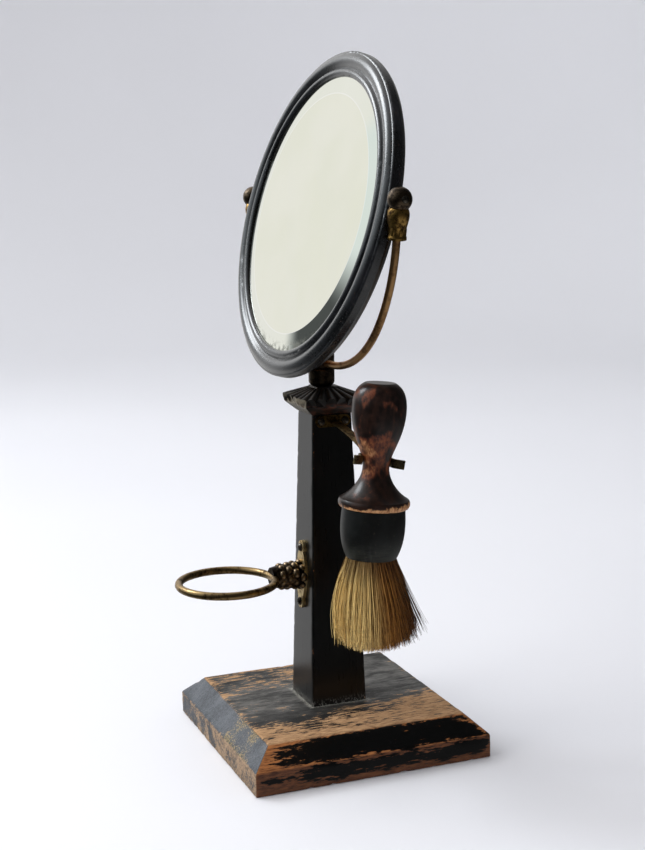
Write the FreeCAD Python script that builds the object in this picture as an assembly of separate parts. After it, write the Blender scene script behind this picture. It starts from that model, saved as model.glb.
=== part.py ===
import FreeCAD, Part
import math
import os

from FreeCAD import Vector

# A shaving stand: a wooden base and tapered post carry a tilting mirror in a wire yoke,
# a cup ring in front and a shaving brush that hangs in a fork at the side.
# Millimetres, +Z up. The origin is under the middle of the base, on the post's axis.
# The mirror faces -Y, the cup ring stands out towards -Y and the brush hangs on +X.

# ---- base and post ----
base_side = 127.0
base_edge_height = 11.9
base_chamfer_height = 10.1
base_chamfer_width = 10.7
post_foot_half = 15.2
post_neck_half = 10.65
post_length = 153.0          # from the top of the base to the cap's skirt
post_edge_round = 0.8
tenon_radius = 8.0
tenon_length = 10.0
glue_gap = 0.5               # left under the tenon
fit_gap = 0.1                # round a piece that drops into a hole in wood

# ---- cap ----
cap_half = 16.4
cap_skirt_height = 4.5       # the sloping part that runs in to the post
cap_fascia_height = 3.6
cap_roof_height = 4.5
cap_seat_half = 6.6
cap_seat_height = 0.9
cap_wall = 0.5               # skirt's lower edge outside the post
cap_over_post = 4.8          # length of post inside the cap
cap_pin_radius = 0.8
cap_pin_length = 7.0

# ---- swivel ----
swivel_x = -0.5
swivel_y = -1.2
yoke_turn = 3.2              # degrees that the mirror is turned about the post at rest
collar_radius = 6.7
collar_height = 9.0
collar_spigot_radius = 4.5
collar_spigot_length = 2.5
hub_height = 8.1
hub_edge = 0.6
stem_radius = 3.0
stem_gap = 0.06              # running clearance round the stem
swivel_play = 0.1            # end play between hub and collar
stem_washer_radius = 5.5
stem_washer_thickness = 1.0
stem_head_radius = 4.3
stem_head_thickness = 1.2
clamp_head_radius = 4.5
clamp_head_height = 1.8
clamp_shank_radius = 1.6

# ---- yoke ----
rod_radius = 1.9
rod_above_hub_foot = 2.9     # rod's centre line above the hub's lower face
lower_bend_radius = 68.0
lower_bend_turn = 50.0
upper_bend_turn = 29.5
ball_radius = 5.8
ball_stand_off = 4.0         # ball centre outside its flat inner face
ball_to_bend = 20.9          # straight end of the rod, from the ball's centre
socket_start = 3.0
socket_bulb_radius = 5.0
socket_waist_radius = 4.1
socket_lip_radius = 4.6
socket_length = 18.2
rod_in_socket = 9.0          # length of rod held in the socket

# ---- mirror ----
rim_radius = 83.1
sight_radius = 70.0
rebate_radius = 72.5
pivot_above_centre = 9.06
mirror_tilt = 15.0
flip_room = 9.2              # from the turning mirror's upper rim down to the rod
lip_back = 3.45              # back of the sight lip, in front of the pivot axis
bead_width = 4.0
bead_crown = 5.2
groove_floor = 3.7
cushion_crown = 5.3
rim_front = 2.4
rim_back = -1.0
frame_back = -5.8
frame_back_radius = 76.5
glass_gap = 0.3
glass_thickness = 4.5
glass_bevel_width = 10.7
glass_bevel_depth = 0.9
glass_face = 4.1
backing_thickness = 0.6
backboard_thickness = 3.0
brad_radius = 0.55
brad_length = 7.5
brad_in_wood = 3.0
brad_count = 6
rim_to_ball_gap = 0.4
pivot_screw_radius = 1.5
pivot_screw_gap = 0.06
pivot_screw_depth = 7.0      # screw's length in the frame
pivot_head_radius = 2.1
pivot_head_height = 1.3
pivot_washer_radius = 3.7
pivot_washer_gap = 0.1
spot_face_depth = 0.4

# ---- cup ring ----
ring_radius = 24.66
ring_wire_radius = 2.0
ring_reach = 55.2            # from the post's axis to the ring's centre
ring_height = 89.8
plate_half_width = 6.2
plate_end_radius = 3.6
plate_screw_span = 28.9
plate_thickness = 1.8
neck_root_radius = 6.8
neck_tip_radius = 5.2
neck_rivet_radius = 2.5
plate_screw_radius = 1.1
plate_screw_length = 12.0
plate_screw_head_radius = 2.2
plate_screw_head_height = 1.6

# ---- brush ----
brush_x = 67.0
brush_y = -0.38
brush_lean = 3.95            # degrees that the brush's foot swings towards -Y
clip_below_cap = 14.4        # from the cap's skirt down to the fork
clip_below_brush_top = 37.6
handle_top_radius = 7.3
handle_head_radius = 13.1
grip_radius = 6.7
neck_under_grip = 0.3        # how much thinner the handle gets below the fork
flange_radius = 17.3
head_below_top = 14.0
shoulder_below_top = 28.2
shoulder_over_grip = 3.25    # radius that the handle gains up to its shoulder
neck_below_top = 40.6
flare_below_top = 48.6
flare_radius = 9.1
flange_below_top = 55.6
flange_thickness = 4.0
ferrule_top_radius = 15.1
ferrule_belly_radius = 15.6
ferrule_mouth_radius = 12.2
ferrule_length = 24.6
ferrule_wall = 1.4
handle_spigot_length = 6.0
plug_length = 8.0
bristle_length = 47.5
bristle_spread_radius = 19.5

# ---- brush clip and its bracket ----
strip_thickness = 1.0
strip_width = 4.4
clip_roll = 11.0             # degrees that the clip is rolled about its arm
grip_gap = 1.3               # between the brush's neck and the fork
jaw_length = 2.2             # straight jaws past the neck's middle
lip_length = 5.2
lip_flare = 68.0             # degrees that the lips turn outwards
bracket_below_cap = 3.4
bracket_foot_half_width = 9.5
bracket_foot_height = 6.0
bracket_screw_offset = 6.5
bracket_screw_radius = 1.1
bracket_screw_length = 8.0
bracket_screw_head_radius = 2.0
bracket_screw_head_height = 1.4
arm_rise = 1.8               # how far the arm bows above its chord
clip_rivet_radius = 1.1
clip_rivet_head = 1.9

# ---- base screw ----
base_screw_radius = 2.3
base_screw_head_radius = 4.6
base_screw_length = 34.0
base_screw_recess = 2.0

# ---- sizes that follow ----
base_height = base_edge_height + base_chamfer_height
base_half = base_side / 2
cap_foot = base_height + post_length
bracket_height = cap_foot - bracket_below_cap
clip_height = cap_foot - clip_below_cap
handle_neck_radius = grip_radius - neck_under_grip
shoulder_radius = grip_radius + shoulder_over_grip
post_top = cap_foot + cap_over_post
post_slope = (post_foot_half - post_neck_half) / post_length
post_taper = math.degrees(math.atan(post_slope))
cap_roof = cap_foot + cap_skirt_height + cap_fascia_height
cap_top = cap_roof + cap_roof_height + cap_seat_height
collar_top = cap_top + collar_height
hub_foot = collar_top + swivel_play
hub_top = hub_foot + hub_height
rod_height = hub_foot + rod_above_hub_foot
yoke_depth = rim_radius - pivot_above_centre + flip_room
pivot_height = rod_height + yoke_depth
ball_face = rim_radius + rim_to_ball_gap
pivot_reach = ball_face + ball_stand_off
arm_angle = lower_bend_turn + upper_bend_turn
X_AXIS = Vector(1, 0, 0)
Y_AXIS = Vector(0, 1, 0)
Z_AXIS = Vector(0, 0, 1)
ORIGIN = Vector(0, 0, 0)


def post_half_at(z):
    return post_foot_half - (z - base_height) * post_slope


def moved(shape, x, y, z):
    copy = shape.copy()
    copy.translate(Vector(x, y, z))
    return copy


def turned(shape, centre, axis, degrees):
    copy = shape.copy()
    copy.rotate(centre, axis, degrees)
    return copy


def cylinder(radius, length, start, direction):
    return Part.makeCylinder(radius, length, start, direction)


def block(x0, x1, y0, y1, z0, z1):
    return Part.makeBox(x1 - x0, y1 - y0, z1 - z0, Vector(x0, y0, z0))


def square_at(half, z):
    corners = [Vector(sx * half, sy * half, z) for sx, sy in ((-1, -1), (1, -1), (1, 1), (-1, 1))]
    return Part.makePolygon(corners + corners[:1])


def frustum(half_low, half_high, z_low, z_high):
    return Part.makeLoft([square_at(half_low, z_low), square_at(half_high, z_high)], True, True)


def joined(shapes):
    result = shapes[0]
    for shape in shapes[1:]:
        result = result.fuse(shape)
    return result.removeSplitter()


# A turned solid. The outline is a list of runs, each ("line", points) or ("curve", points),
# with points (radius, height) from the axis; each run starts where the last one ended.
def spun(runs):
    edges = []
    first = Vector(runs[0][1][0][0], 0, runs[0][1][0][1])
    last = first
    for kind, points in runs:
        spots = [Vector(r, 0, h) for r, h in points]
        if spots[0].distanceToPoint(last) > 1e-6:
            spots = [last] + spots
        if kind == "line":
            edges += [Part.makeLine(a, b) for a, b in zip(spots, spots[1:]) if a.distanceToPoint(b) > 1e-6]
        elif len(spots) == 3:
            edges.append(Part.Arc(*spots).toShape())
        else:
            curve = Part.BSplineCurve()
            curve.interpolate(spots)
            edges.append(curve.toShape())
        last = spots[-1]
    if last.distanceToPoint(first) > 1e-6:
        edges.append(Part.makeLine(last, first))
    face = Part.Face(Part.Wire(edges))
    return face.revolve(ORIGIN, Z_AXIS, 360)


# A straight screw, pin or rivet: shank along +Z from 0 down to -length, domed head above 0.
def domed_screw(shank_radius, length, head_radius, head_height):
    dome_radius = (head_radius ** 2 + head_height ** 2) / (2 * head_height)
    half_angle = math.asin(head_radius / dome_radius) / 2
    middle = (dome_radius * math.sin(half_angle), head_height - dome_radius * (1 - math.cos(half_angle)))
    return spun([
        ("line", [(0, -length), (shank_radius, -length), (shank_radius, 0), (head_radius, 0)]),
        ("curve", [(head_radius, 0), middle, (0, head_height)]),
    ])


# ---------------------------------------------------------------- base and post
def make_base_block():
    slab = frustum(base_half, base_half, 0, base_edge_height)
    top = frustum(base_half, base_half - base_chamfer_width, base_edge_height, base_height)
    body = joined([slab, top])
    mortise_depth = tenon_length + glue_gap
    mortise_floor = Vector(0, 0, base_height - mortise_depth)
    mortise = cylinder(tenon_radius + fit_gap, mortise_depth, mortise_floor, Z_AXIS)
    shank_hole = cylinder(base_screw_radius + fit_gap, base_height, ORIGIN, Z_AXIS)
    recess = cylinder(base_screw_head_radius + fit_gap, base_screw_recess, ORIGIN, Z_AXIS)
    sink = countersink(fit_gap)
    return body.cut(mortise).cut(shank_hole).cut(recess).cut(sink)


# The cone under the base screw's flat head, grown by gap.
def countersink(gap):
    wide = base_screw_head_radius + gap
    narrow = base_screw_radius + gap
    return Part.makeCone(wide, narrow, wide - narrow, Vector(0, 0, base_screw_recess), Z_AXIS)


def make_base_screw():
    shank = cylinder(base_screw_radius, base_screw_length, Vector(0, 0, base_screw_recess), Z_AXIS)
    return joined([shank, countersink(0)])


def make_post():
    body = frustum(post_foot_half, post_half_at(post_top), base_height, post_top)
    upright = [edge for edge in body.Edges if edge.BoundBox.ZLength > post_length / 2]
    body = body.makeFillet(post_edge_round, upright)
    tenon = cylinder(tenon_radius, tenon_length, Vector(0, 0, base_height - tenon_length), Z_AXIS)
    body = joined([body, tenon])
    screw_hole = cylinder(base_screw_radius, base_screw_length, Vector(0, 0, base_screw_recess), Z_AXIS)
    pocket_radius = stem_washer_radius + 2 * fit_gap
    pocket_floor = post_top - stem_washer_thickness - stem_head_thickness - 1.5
    pocket_foot = Vector(swivel_x, swivel_y, pocket_floor)
    pocket = cylinder(pocket_radius, post_top - pocket_floor, pocket_foot, Z_AXIS)
    body = body.cut(screw_hole).cut(pocket)
    for pin in plate_screw_solids() + bracket_screw_solids() + cap_pin_solids():
        body = body.cut(pin)
    return body


def make_post_cap():
    skirt_half = post_half_at(cap_foot) + fit_gap + cap_wall
    fascia_foot = cap_foot + cap_skirt_height
    seat_foot = cap_roof + cap_roof_height
    body = joined([
        frustum(skirt_half, cap_half, cap_foot, fascia_foot),
        frustum(cap_half, cap_half, fascia_foot, cap_roof),
        frustum(cap_half, cap_seat_half, cap_roof, seat_foot),
        frustum(cap_seat_half, cap_seat_half, seat_foot, cap_top),
    ])
    low_half = post_half_at(cap_foot) + fit_gap
    high_half = post_half_at(post_top) + fit_gap
    socket = frustum(low_half, high_half, cap_foot, post_top)
    stem_bore = cylinder(stem_radius + stem_gap, cap_top, Vector(swivel_x, swivel_y, 0), Z_AXIS)
    spigot_start = Vector(swivel_x, swivel_y, cap_top - collar_spigot_length)
    spigot_bore = cylinder(collar_spigot_radius, collar_spigot_length, spigot_start, Z_AXIS)
    body = body.cut(socket).cut(stem_bore).cut(spigot_bore)
    for pin in cap_pin_solids():
        body = body.cut(pin)
    return body


# Two pins through the back and the far side of the cap's skirt hold it on the post.
def cap_pin_solids():
    height = cap_foot + cap_skirt_height / 2
    start = post_half_at(height) + cap_skirt_height / 2
    pins = []
    for direction in (Vector(0, -1, 0), Vector(1, 0, 0)):
        tail = Vector(0, 0, height) - direction * start
        pins.append(cylinder(cap_pin_radius, cap_pin_length, tail, direction))
    return pins


# ---------------------------------------------------------------- swivel and yoke
# The yoke's pieces are drawn on the swivel's axis with the pivots along X, then placed.
def place_yoke(shape):
    centre = Vector(swivel_x, swivel_y, 0)
    return turned(moved(shape, swivel_x, swivel_y, 0), centre, Z_AXIS, yoke_turn)


def make_swivel_collar():
    outer = collar_radius
    spigot_foot = cap_top - collar_spigot_length
    body = spun([
        ("line", [(0, spigot_foot), (collar_spigot_radius, spigot_foot)]),
        ("line", [(collar_spigot_radius, cap_top), (outer - 2.2, cap_top)]),
        ("curve", [(outer - 2.2, cap_top), (outer - 0.7, cap_top + 0.8), (outer, cap_top + 2.6)]),
        ("line", [(outer, collar_top - hub_edge), (outer - hub_edge, collar_top), (0, collar_top)]),
    ])
    bore = cylinder(stem_radius + stem_gap, collar_top, ORIGIN, Z_AXIS)
    return moved(body.cut(bore), swivel_x, swivel_y, 0)


def stem_washer_top():
    return post_top - swivel_play


def make_yoke_hub():
    washer_foot = stem_washer_top() - stem_washer_thickness
    head_foot = washer_foot - stem_head_thickness
    edge = hub_edge * 2
    body = spun([
        ("line", [(0, head_foot), (stem_head_radius, head_foot), (stem_head_radius, washer_foot)]),
        ("line", [(stem_radius, washer_foot), (stem_radius, hub_foot)]),
        ("line", [(collar_radius - hub_edge, hub_foot), (collar_radius, hub_foot + hub_edge)]),
        ("line", [(collar_radius, hub_top - edge)]),
        ("curve", [(collar_radius, hub_top - edge), (collar_radius - 0.35 * edge, hub_top - 0.35 * edge),
                   (collar_radius - edge, hub_top)]),
        ("line", [(0, hub_top)]),
    ])
    clamp_bore = cylinder(clamp_shank_radius, hub_top - rod_height, Vector(0, 0, rod_height), Z_AXIS)
    return place_yoke(body.cut(rod_solid()).cut(clamp_bore))


def make_stem_washer():
    foot = stem_washer_top() - stem_washer_thickness
    body = cylinder(stem_washer_radius, stem_washer_thickness, Vector(0, 0, foot), Z_AXIS)
    return place_yoke(body.cut(cylinder(stem_radius, post_top, ORIGIN, Z_AXIS)))


# The clamp screw's tip is hollowed to sit on the rod.
def make_rod_clamp_screw():
    screw = domed_screw(clamp_shank_radius, hub_top - rod_height, clamp_head_radius, clamp_head_height)
    return place_yoke(moved(screw, 0, 0, hub_top).cut(rod_solid()))


# The rod's centre line in the yoke's plane: level through the hub, two tangent bends,
# then straight up to the ball on each side.
def rod_path():
    low = math.radians(lower_bend_turn)
    high = math.radians(arm_angle)
    rise = yoke_depth - lower_bend_radius * (1 - math.cos(low)) - ball_to_bend * math.sin(high)
    upper_radius = rise / (math.cos(low) - math.cos(high))
    reach = lower_bend_radius * math.sin(low) + upper_radius * (math.sin(high) - math.sin(low))
    level = pivot_reach - reach - ball_to_bend * math.cos(high)
    centre = Vector(level, 0, rod_height + lower_bend_radius)
    points = []
    for angle in (0, low / 2, low):
        points.append(centre + Vector(math.sin(angle), 0, -math.cos(angle)) * lower_bend_radius)
    centre = points[-1] - Vector(math.sin(low), 0, -math.cos(low)) * upper_radius
    for angle in ((low + high) / 2, high):
        points.append(centre + Vector(math.sin(angle), 0, -math.cos(angle)) * upper_radius)
    straight = ball_to_bend - socket_length + rod_in_socket
    end = points[-1] + Vector(math.cos(high), 0, math.sin(high)) * straight
    return points, end


def rod_solid():
    points, end = rod_path()
    mirrored = [Vector(-p.x, p.y, p.z) for p in points]
    far_end = Vector(-end.x, end.y, end.z)
    edges = [
        Part.makeLine(far_end, mirrored[4]),
        Part.Arc(mirrored[4], mirrored[3], mirrored[2]).toShape(),
        Part.Arc(mirrored[2], mirrored[1], mirrored[0]).toShape(),
        Part.makeLine(mirrored[0], points[0]),
        Part.Arc(points[0], points[1], points[2]).toShape(),
        Part.Arc(points[2], points[3], points[4]).toShape(),
        Part.makeLine(points[4], end),
    ]
    direction = mirrored[4] - far_end
    section = Part.Wire(Part.makeCircle(rod_radius, far_end, direction))
    return Part.Wire(edges).makePipeShell([section], True, True)


def make_yoke_rod():
    return place_yoke(rod_solid())


# Everything of the yoke nearer the mirror than the balls' flat faces, beside the rim.
def rim_side(sign):
    reach = ball_face * 2
    foot = rod_height + yoke_depth / 2
    space = block(-reach, ball_face, -reach, reach, foot, pivot_height + ball_radius * 2)
    if sign < 0:
        space = space.mirror(ORIGIN, X_AXIS)
    return space


def ball_solid(sign):
    return Part.makeSphere(ball_radius, Vector(sign * pivot_reach, 0, pivot_height))


def make_pivot_ball(sign):
    body = ball_solid(sign).cut(rim_side(sign))
    body = body.cut(pivot_screw_solid(sign, pivot_screw_gap))
    return place_yoke(body)


def make_arm_socket(sign):
    bulb = socket_start + 0.38 * (socket_length - socket_start)
    waist = socket_start + 0.74 * (socket_length - socket_start)
    lip = socket_length - 1.0
    body = spun([
        ("line", [(0, -socket_start), (socket_waist_radius - 0.4, -socket_start)]),
        ("curve", [(socket_waist_radius - 0.4, -socket_start), (socket_bulb_radius, -bulb),
                   (socket_waist_radius, -waist), (socket_lip_radius, -lip)]),
        ("line", [(socket_lip_radius, -socket_length), (0, -socket_length)]),
    ])
    body = turned(body, ORIGIN, Y_AXIS, sign * (90 - arm_angle))
    body = moved(body, sign * pivot_reach, 0, pivot_height)
    body = body.cut(ball_solid(sign)).cut(rim_side(sign)).cut(rod_solid())
    return place_yoke(body)


# ---------------------------------------------------------------- mirror
# Heights in the mirror are measured forwards, along its normal, from the pivot axis.
# It is drawn lying face up about Z, centred on the glass, then stood up and tilted.
def place_mirror(shape):
    standing = turned(shape, ORIGIN, X_AXIS, 90)
    standing = moved(standing, 0, 0, -pivot_above_centre)
    tilted = turned(standing, ORIGIN, X_AXIS, -mirror_tilt)
    return place_yoke(moved(tilted, 0, 0, pivot_height))


# A piece drawn on the pivot axis, in the yoke's frame, that tilts with the mirror.
def place_on_pivot(shape):
    tilted = turned(shape, Vector(0, 0, pivot_height), X_AXIS, -mirror_tilt)
    return place_yoke(tilted)


def pivot_screw_solid(sign, gap=0.0):
    head_seat = pivot_reach + ball_radius * 0.86
    tip = seat_of_washer() - pivot_screw_depth
    head_radius = pivot_head_radius + 2 * gap
    screw = domed_screw(pivot_screw_radius + gap, head_seat - tip, head_radius, pivot_head_height)
    return moved(turned(screw, ORIGIN, Y_AXIS, sign * 90), sign * head_seat, 0, pivot_height)


# The flat cut into the rim for the washer.
def seat_of_washer():
    return math.sqrt(rim_radius ** 2 - pivot_above_centre ** 2) - spot_face_depth


def make_mirror_frame():
    groove = sight_radius + bead_width
    shoulder = groove + 1.3
    body = spun([
        ("line", [(sight_radius, lip_back), (sight_radius, groove_floor + 0.3)]),
        ("curve", [(sight_radius, groove_floor + 0.3), (sight_radius + 0.5 * bead_width, bead_crown),
                   (groove, groove_floor + 0.4)]),
        ("line", [(groove + 0.5, groove_floor), (shoulder, groove_floor + 0.5)]),
        ("curve", [(shoulder, groove_floor + 0.5), (0.62 * shoulder + 0.38 * rim_radius, cushion_crown),
                   (rim_radius - 1.2, rim_front + 1.0)]),
        ("curve", [(rim_radius - 1.2, rim_front + 1.0), (rim_radius - 0.3, rim_front + 0.6),
                   (rim_radius, rim_front)]),
        ("line", [(rim_radius, rim_back)]),
        ("curve", [(rim_radius, rim_back), (rim_radius - 2.0, 0.38 * rim_back + 0.62 * frame_back),
                   (frame_back_radius, frame_back)]),
        ("line", [(rebate_radius, frame_back), (rebate_radius, lip_back)]),
    ])
    for brad in brad_solids():
        body = body.cut(brad)
    body = place_mirror(body)
    for sign in (-1, 1):
        seat = Vector(seat_of_washer(), 0, pivot_height)
        pocket = cylinder(pivot_washer_radius + fit_gap, 5, seat, X_AXIS)
        if sign < 0:
            pocket = pocket.mirror(ORIGIN, X_AXIS)
        body = body.cut(place_on_pivot(pocket)).cut(place_on_pivot(pivot_screw_solid(sign)))
    return body


def make_mirror_glass():
    radius = rebate_radius - glass_gap
    back = glass_face - glass_thickness
    return place_mirror(spun([
        ("line", [(0, back), (radius, back), (radius, glass_face - glass_bevel_depth)]),
        ("line", [(radius - glass_bevel_width, glass_face), (0, glass_face)]),
    ]))


def backing_top():
    return glass_face - glass_thickness


def make_mirror_backing():
    foot = backing_top() - backing_thickness
    return place_mirror(cylinder(rebate_radius - glass_gap, backing_thickness, Vector(0, 0, foot), Z_AXIS))


def make_mirror_backboard():
    foot = backing_top() - backing_thickness - backboard_thickness
    return place_mirror(cylinder(rebate_radius - glass_gap, backboard_thickness, Vector(0, 0, foot), Z_AXIS))


# Headless brads lie on the backboard and run outwards into the frame.
def brad_solids():
    level = backing_top() - backing_thickness - backboard_thickness - brad_radius
    start = rebate_radius + brad_in_wood - brad_length
    brads = []
    for i in range(brad_count):
        angle = math.radians(360 * (i + 0.5) / brad_count)
        outward = Vector(math.cos(angle), math.sin(angle), 0)
        brads.append(cylinder(brad_radius, brad_length, outward * start + Vector(0, 0, level), outward))
    return brads


def make_backboard_brads():
    return Part.makeCompound([place_mirror(brad) for brad in brad_solids()])


def make_pivot_screw(sign):
    return place_on_pivot(pivot_screw_solid(sign))


def make_pivot_washer(sign):
    seat = seat_of_washer()
    thickness = ball_face - pivot_washer_gap - seat
    disc = cylinder(pivot_washer_radius, thickness, Vector(seat, 0, pivot_height), X_AXIS)
    if sign < 0:
        disc = disc.mirror(ORIGIN, X_AXIS)
    return place_on_pivot(disc.cut(pivot_screw_solid(sign)))


# ---------------------------------------------------------------- cup ring
# The plate and its screws are drawn on the plane y = 0 at height 0, facing -Y, then laid
# on the post's sloping front face.
def place_on_front(shape):
    laid = turned(shape, ORIGIN, X_AXIS, -post_taper)
    return moved(laid, 0, -post_half_at(ring_height), ring_height)


def plate_screw_solids():
    screws = []
    for z in (-plate_screw_span / 2, plate_screw_span / 2):
        screw = domed_screw(plate_screw_radius, plate_screw_length,
                            plate_screw_head_radius, plate_screw_head_height)
        screw = moved(turned(screw, ORIGIN, X_AXIS, 90), 0, -plate_thickness, z)
        screws.append(place_on_front(screw))
    return screws


def make_backplate_screws():
    return Part.makeCompound(plate_screw_solids())


def make_ring_backplate():
    end = plate_screw_span / 2
    side = plate_end_radius * 0.85
    lift = math.sqrt(plate_end_radius ** 2 - side ** 2)
    shoulder = end - lift
    tip = end + plate_end_radius
    corners = [Vector(side, 0, shoulder), Vector(side, 0, -shoulder),
               Vector(-side, 0, -shoulder), Vector(-side, 0, shoulder)]
    middles = [Vector(plate_half_width, 0, 0), Vector(0, 0, -tip),
               Vector(-plate_half_width, 0, 0), Vector(0, 0, tip)]
    edges = []
    for number, middle in enumerate(middles):
        edges.append(Part.Arc(corners[number], middle, corners[(number + 1) % 4]).toShape())
    body = Part.Face(Part.Wire(edges)).extrude(Vector(0, -plate_thickness, 0))
    body = place_on_front(body).cut(neck_solid())
    for screw in plate_screw_solids():
        body = body.cut(screw)
    return body


def ring_solid():
    return Part.makeTorus(ring_radius, ring_wire_radius, Vector(0, -ring_reach, ring_height), Z_AXIS)


# The neck: a stub through the plate, a barrel that narrows towards the ring.
def neck_solid():
    root = post_half_at(ring_height) + plate_thickness
    tip = ring_reach - ring_radius + ring_wire_radius * 0.4
    middle = 0.5 * (root + tip)
    rivet_foot = root - plate_thickness + 0.6
    body = spun([
        ("line", [(0, rivet_foot), (neck_rivet_radius, rivet_foot)]),
        ("line", [(neck_rivet_radius, root + 0.3), (neck_root_radius, root + 0.3)]),
        ("curve", [(neck_root_radius, root + 0.3), (neck_root_radius - 0.3, middle),
                   (neck_tip_radius, tip)]),
        ("line", [(0, tip)]),
    ])
    return moved(turned(body, ORIGIN, X_AXIS, 90), 0, 0, ring_height)


def make_ring_neck():
    return neck_solid().cut(ring_solid())


# ---------------------------------------------------------------- brush
# The brush is drawn upright with the clip's height at 0, then leaned and placed.
def place_brush(shape):
    leaned = turned(shape, ORIGIN, X_AXIS, -brush_lean)
    return moved(leaned, brush_x, brush_y, clip_height)


def ferrule_top():
    return clip_below_brush_top - flange_below_top - flange_thickness


def make_brush_handle():
    top = clip_below_brush_top
    foot = ferrule_top()
    spigot_radius = ferrule_top_radius - ferrule_wall - fit_gap
    return place_brush(spun([
        ("line", [(0, top), (handle_top_radius, top)]),
        ("curve", [(handle_top_radius, top), (0.78 * handle_head_radius, top - 0.16 * head_below_top),
                   (handle_head_radius, top - head_below_top), (shoulder_radius, top - shoulder_below_top),
                   (grip_radius, 0), (handle_neck_radius, top - neck_below_top),
                   (flare_radius, top - flare_below_top), (flange_radius - 0.6, top - flange_below_top)]),
        ("curve", [(flange_radius - 0.6, top - flange_below_top),
                   (flange_radius, top - flange_below_top - 0.45 * flange_thickness),
                   (flange_radius - 0.9, foot)]),
        ("line", [(spigot_radius, foot), (spigot_radius, foot - handle_spigot_length)]),
        ("line", [(0, foot - handle_spigot_length)]),
    ]))


def make_brush_ferrule():
    top = ferrule_top()
    foot = top - ferrule_length
    wall = ferrule_wall
    belly = top - 0.4 * ferrule_length
    bore = ferrule_top_radius - wall
    return place_brush(spun([
        ("line", [(bore, top), (ferrule_top_radius, top)]),
        ("curve", [(ferrule_top_radius, top), (ferrule_belly_radius, belly),
                   (ferrule_belly_radius - 0.9, top - 0.72 * ferrule_length), (ferrule_mouth_radius, foot)]),
        ("line", [(ferrule_mouth_radius - wall, foot)]),
        ("curve", [(ferrule_mouth_radius - wall, foot), (bore, top - 0.66 * ferrule_length),
                   (bore, top - 0.5 * ferrule_length)]),
        ("line", [(bore, top)]),
    ]))


def make_bristle_plug():
    top = ferrule_top() - handle_spigot_length - fit_gap
    radius = ferrule_mouth_radius - ferrule_wall - fit_gap
    return place_brush(cylinder(radius, plug_length, Vector(0, 0, top - plug_length), Z_AXIS))


# The tuft hangs plumb from the ferrule's mouth; its root is held under the plug.
def make_brush_bristles():
    top = ferrule_top()
    mouth = top - ferrule_length
    root_radius = ferrule_mouth_radius - ferrule_wall - 2 * fit_gap
    root_top = top - handle_spigot_length - plug_length - 2 * fit_gap
    root = cylinder(root_radius, root_top - mouth, Vector(0, 0, mouth), Z_AXIS)
    length = bristle_length
    tuft = spun([
        ("line", [(0, 0), (root_radius, 0)]),
        ("curve", [(root_radius, 0), (0.82 * bristle_spread_radius, -0.36 * length),
                   (bristle_spread_radius, -0.68 * length), (0.72 * bristle_spread_radius, -0.92 * length),
                   (0.3 * bristle_spread_radius, -length)]),
        ("line", [(0, -length)]),
    ])
    tuft = turned(tuft, ORIGIN, X_AXIS, brush_lean)
    tuft = moved(tuft, 0, 0, mouth)
    return place_brush(joined([root, tuft]))


# ---------------------------------------------------------------- brush clip and bracket
# The clip is drawn round the brush's neck at height 0 with its open side towards +X.
def place_clip(shape):
    rolled = turned(shape, ORIGIN, X_AXIS, -clip_roll)
    return moved(rolled, brush_x, brush_y, clip_height)


def clip_inner_radius():
    return grip_radius + grip_gap


def make_brush_clip():
    inner = clip_inner_radius()
    outer = inner + strip_thickness
    half = strip_width / 2
    tube = cylinder(outer, strip_width, Vector(0, 0, -half), Z_AXIS)
    body = tube.cut(block(0, outer, -outer, outer, -half, half))
    for sign in (-1, 1):
        jaw = block(0, jaw_length, inner, outer, -half, half)
        lip = block(0, lip_length, -strip_thickness / 2, strip_thickness / 2, -half, half)
        lip = turned(lip, ORIGIN, Z_AXIS, lip_flare)
        lip = moved(lip, jaw_length - 0.2, inner + strip_thickness / 2, 0)
        piece = joined([jaw, lip])
        if sign < 0:
            piece = piece.mirror(ORIGIN, Y_AXIS)
        body = body.fuse(piece)
    body = body.removeSplitter()
    body = body.cut(cylinder(inner, strip_width, Vector(0, 0, -half), Z_AXIS))
    return place_clip(body.cut(back_flat()).cut(clip_rivet_solid()))


# A shallow flat on the back of the fork, where the bracket's tab lies.
def back_flat():
    outer = clip_inner_radius() + strip_thickness
    sagitta = outer - math.sqrt(outer ** 2 - (strip_width / 2) ** 2)
    return block(-outer, sagitta - outer, -strip_width, strip_width, -strip_width, strip_width)


def tab_face_x():
    outer = clip_inner_radius() + strip_thickness
    return -math.sqrt(outer ** 2 - (strip_width / 2) ** 2)


def clip_rivet_solid():
    outer_face = tab_face_x() - strip_thickness
    grip = clip_inner_radius() + outer_face
    rivet = domed_screw(clip_rivet_radius, -grip - 0.3, clip_rivet_head, 0.8)
    return moved(turned(rivet, ORIGIN, Y_AXIS, -90), outer_face, 0, 0)


def make_clip_rivet():
    return place_clip(clip_rivet_solid())


# The bracket's foot is drawn on the plane x = 0 at height 0, facing +X, then laid on the
# post's sloping side.
def place_on_side(shape):
    laid = turned(shape, ORIGIN, Y_AXIS, -post_taper)
    return moved(laid, post_half_at(bracket_height), 0, bracket_height)


def bracket_screw_solids():
    screws = []
    for y in (-bracket_screw_offset, bracket_screw_offset):
        screw = domed_screw(bracket_screw_radius, bracket_screw_length + strip_thickness,
                            bracket_screw_head_radius, bracket_screw_head_height)
        screw = moved(turned(screw, ORIGIN, Y_AXIS, 90), strip_thickness, y, 0)
        screws.append(place_on_side(screw))
    return screws


def make_bracket_screws():
    return Part.makeCompound(bracket_screw_solids())


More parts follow.
